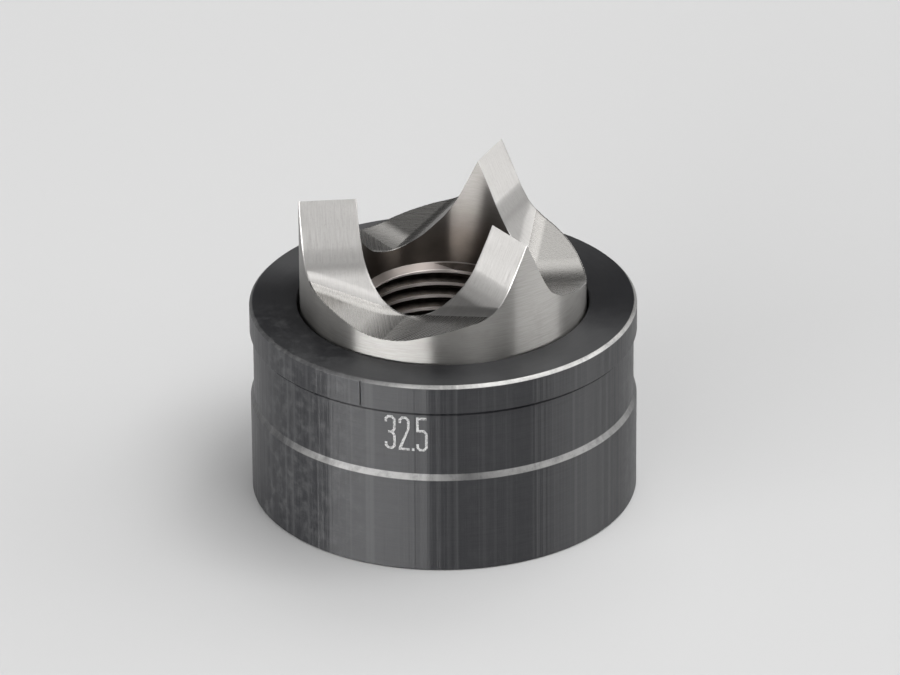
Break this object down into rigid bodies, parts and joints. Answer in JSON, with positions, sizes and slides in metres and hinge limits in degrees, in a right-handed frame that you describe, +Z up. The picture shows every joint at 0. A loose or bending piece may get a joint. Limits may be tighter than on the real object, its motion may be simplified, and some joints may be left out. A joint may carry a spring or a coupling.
{
  "type": "knockout punch and die",
  "caption": "Pointed steel ring punch with a threaded bore, standing in its cup-shaped die, for drawing a clean round hole through sheet metal.",
  "frame": {"origin": "centre of the die's base face", "axes": "+Z up the common axis of punch and die, towards the teeth; one tooth lies along -X"},
  "size_m": [0.044, 0.044, 0.0362],
  "materials": {
    "ground_steel": "ground, with fine lines along the flanks",
    "black_oxide_steel": "black oxide over fine turning lines, edges worn bright"
  },
  "bodies": {
    "die": {"die": "black_oxide_steel"},
    "punch": {"punch": "ground_steel"}
  },
  "joints": [
    {"name": "punch_lift", "type": "slide", "parent": "die", "child": "punch", "axis": [0, 0, 1], "range_m": [0, 0.03]}
  ]
}
